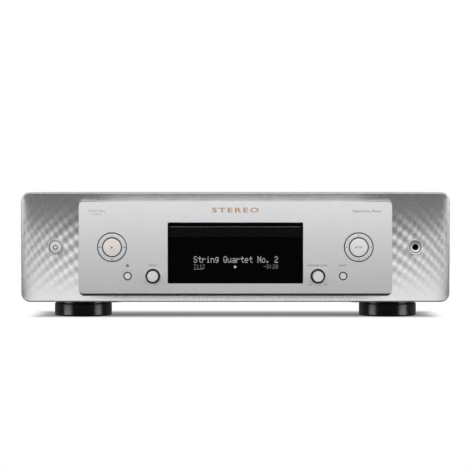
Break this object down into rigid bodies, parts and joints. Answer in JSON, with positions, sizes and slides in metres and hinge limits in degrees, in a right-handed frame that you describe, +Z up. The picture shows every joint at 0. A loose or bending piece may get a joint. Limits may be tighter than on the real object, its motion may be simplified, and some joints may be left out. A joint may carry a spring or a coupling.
{
  "type": "cd player",
  "caption": "Full-width hi-fi disc player with a floating centre plate, motorised disc tray, tilting laser mechanism, turning knobs and sprung keys on a vented case with round feet.",
  "frame": {"origin": "on the floor under the middle of the case's 442 x 432 mm outline", "axes": "+Z up, the front faces -Y, +X is to the right seen from the front"},
  "size_m": [0.442, 0.432, 0.13],
  "materials": {
    "silver_panel": "satin anodised, softly waved beside the centre plate",
    "silver_plate": "fine satin anodised",
    "silver_key": "satin anodised",
    "silver_paint": "silver powder coat",
    "steel": "zinc plated",
    "black_window": "gloss black",
    "black_plastic": "matt moulded",
    "grey_plastic": "matt moulded",
    "white_plastic": "natural acetal",
    "rubber": "matt",
    "board_green": "solder resist",
    "lens": "coated lens",
    "winding": "varnished copper winding"
  },
  "bodies": {
    "case": {"bottom_chassis": "steel", "top_cover": "silver_paint", "rear_panel": "silver_paint", "front_panel": "silver_panel", "centre_plate": "silver_plate", "display_window": "black_window", "front_subframe": "grey_plastic", "foot_front_left": "black_plastic", "foot_rear_left": "black_plastic", "foot_front_right": "black_plastic", "foot_rear_right": "black_plastic", "input_encoder": "grey_plastic", "level_potentiometer": "grey_plastic", "left_key_board": "board_green", "right_key_board": "board_green", "display_module": "black_window", "power_bezel": "silver_key", "power_switch": "black_plastic", "phones_bezel": "silver_key", "phones_jack": "black_plastic", "loader_frame": "black_plastic", "clamp_bridge": "steel", "loading_belt": "rubber", "loading_motor": "steel", "power_board": "board_green", "main_board": "board_green", "audio_board": "board_green", "power_transformer": "winding", "mains_inlet": "black_plastic", "network_sockets": "black_plastic", "digital_sockets": "black_plastic", "analogue_sockets": "black_plastic"},
    "tray": {"disc_tray": "black_plastic", "tray_door": "black_window"},
    "traverse": {"traverse_chassis": "grey_plastic", "spindle_motor": "steel", "sled_motor": "steel", "guide_rod_left": "steel", "guide_rod_right": "steel"},
    "sled": {"pickup_sled": "black_plastic"},
    "lens": {"lens_holder": "lens"},
    "transport_carrier": {"transport_ring_carrier": "grey_plastic"},
    "cursor_carrier": {"cursor_ring_carrier": "grey_plastic"},
    "tray_gear": {"tray_gear": "white_plastic"},
    "pulley_gear": {"pulley_gear": "white_plastic"},
    "motor_pulley": {"motor_pulley": "white_plastic"},
    "cam_slider": {"cam_slider": "grey_plastic"},
    "turntable": {"turntable": "grey_plastic"},
    "disc_clamper": {"disc_clamper": "white_plastic"},
    "sled_gear": {"sled_gear": "white_plastic"},
    "sled_motor_pinion": {"sled_motor_pinion": "white_plastic"},
    "transport_ring": {"transport_ring": "silver_key"},
    "cursor_ring": {"cursor_ring": "silver_key"},
    "play_button": {"play_button": "silver_key"},
    "enter_button": {"enter_button": "silver_key"},
    "eject_button": {"eject_button": "silver_key"},
    "back_button": {"back_button": "silver_key"},
    "power_button": {"power_button": "silver_key"},
    "input_knob": {"input_knob": "silver_key"},
    "level_knob": {"level_knob": "silver_key"}
  },
  "joints": [
    {"name": "tray_slide", "type": "slide", "parent": "case", "child": "tray", "axis": [0, -1, 0], "range_m": [0, 0.14]},
    {"name": "tray_gear_spin", "type": "hinge", "parent": "case", "child": "tray_gear", "pos_m": [-0.044, -0.172, 0.08], "axis": [0, 0, 1], "continuous": true},
    {"name": "pulley_spin", "type": "hinge", "parent": "case", "child": "pulley_gear", "pos_m": [-0.02, -0.172, 0.075], "axis": [0, 0, 1], "continuous": true},
    {"name": "motor_pulley_spin", "type": "hinge", "parent": "case", "child": "motor_pulley", "pos_m": [0.02, -0.172, 0.072], "axis": [0, 0, 1], "continuous": true},
    {"name": "traverse_tilt", "type": "hinge", "parent": "case", "child": "traverse", "pos_m": [0, -0.044, 0.077], "axis": [1, 0, 0], "range_deg": [0, 4.38]},
    {"name": "cam_slide", "type": "slide", "parent": "case", "child": "cam_slider", "axis": [1, 0, 0], "range_m": [0, 0.0172]},
    {"name": "turntable_spin", "type": "hinge", "parent": "traverse", "child": "turntable", "pos_m": [0, -0.13, 0.08], "axis": [0, 0, 1], "continuous": true},
    {"name": "clamper_spin", "type": "hinge", "parent": "case", "child": "disc_clamper", "pos_m": [0, -0.13, 0.098], "axis": [0, 0, 1], "continuous": true},
    {"name": "sled_slide", "type": "slide", "parent": "traverse", "child": "sled", "axis": [0, 1, 0], "range_m": [0, 0.036]},
    {"name": "sled_gear_spin", "type": "hinge", "parent": "traverse", "child": "sled_gear", "pos_m": [0.0318, -0.09, 0.08], "axis": [0, 0, 1], "continuous": true},
    {"name": "sled_pinion_spin", "type": "hinge", "parent": "traverse", "child": "sled_motor_pinion", "pos_m": [0.0318, -0.102, 0.08], "axis": [0, 0, 1], "continuous": true},
    {"name": "lens_focus", "type": "slide", "parent": "sled", "child": "lens", "axis": [0, 0, 1], "range_m": [-0.0004, 0.0004], "stiffness_N_per_m": 300},
    {"name": "power_press", "type": "slide", "parent": "case", "child": "power_button", "axis": [0, 1, 0], "range_m": [0, 0.0008], "stiffness_N_per_m": 300, "springref_m": -0.001},
    {"name": "play_press", "type": "slide", "parent": "case", "child": "play_button", "axis": [0, 1, 0], "range_m": [0, 0.0008], "stiffness_N_per_m": 300, "springref_m": -0.001},
    {"name": "enter_press", "type": "slide", "parent": "case", "child": "enter_button", "axis": [0, 1, 0], "range_m": [0, 0.0008], "stiffness_N_per_m": 300, "springref_m": -0.001},
    {"name": "eject_press", "type": "slide", "parent": "case", "child": "eject_button", "axis": [0, 1, 0], "range_m": [0, 0.0008], "stiffness_N_per_m": 300, "springref_m": -0.001},
    {"name": "back_press", "type": "slide", "parent": "case", "child": "back_button", "axis": [0, 1, 0], "range_m": [0, 0.0008], "stiffness_N_per_m": 300, "springref_m": -0.001},
    {"name": "transport_rock", "type": "hinge", "parent": "case", "child": "transport_carrier", "pos_m": [-0.1272, -0.203, 0.0732], "axis": [1, 0, 0], "range_deg": [-2, 2], "stiffness_Nm_per_rad": 0.2},
    {"name": "transport_sway", "type": "hinge", "parent": "transport_carrier", "child": "transport_ring", "pos_m": [-0.1272, -0.203, 0.0732], "axis": [0, 0, 1], "range_deg": [-2, 2], "stiffness_Nm_per_rad": 0.2},
    {"name": "cursor_rock", "type": "hinge", "parent": "case", "child": "cursor_carrier", "pos_m": [0.1272, -0.203, 0.0732], "axis": [1, 0, 0], "range_deg": [-2, 2], "stiffness_Nm_per_rad": 0.2},
    {"name": "cursor_sway", "type": "hinge", "parent": "cursor_carrier", "child": "cursor_ring", "pos_m": [0.1272, -0.203, 0.0732], "axis": [0, 0, 1], "range_deg": [-2, 2], "stiffness_Nm_per_rad": 0.2},
    {"name": "input_turn", "type": "hinge", "parent": "case", "child": "input_knob", "pos_m": [-0.0851, -0.205, 0.0434], "axis": [0, 1, 0], "continuous": true},
    {"name": "level_turn", "type": "hinge", "parent": "case", "child": "level_knob", "pos_m": [0.0851, -0.205, 0.0434], "axis": [0, 1, 0], "range_deg": [-150, 150]}
  ],
  "couplings": [
    {"joint": "tray_gear_spin", "follows": "tray_slide", "rad_per_m": 95.238},
    {"joint": "pulley_spin", "follows": "tray_slide", "rad_per_m": -209.52},
    {"joint": "motor_pulley_spin", "follows": "tray_slide", "rad_per_m": -523.81},
    {"joint": "cam_slide", "follows": "traverse_tilt", "m_per_rad": 0.2228},
    {"joint": "clamper_spin", "follows": "turntable_spin", "ratio": 1},
    {"joint": "sled_gear_spin", "follows": "sled_slide", "rad_per_m": -208.33},
    {"joint": "sled_pinion_spin", "follows": "sled_slide", "rad_per_m": 416.67}
  ]
}
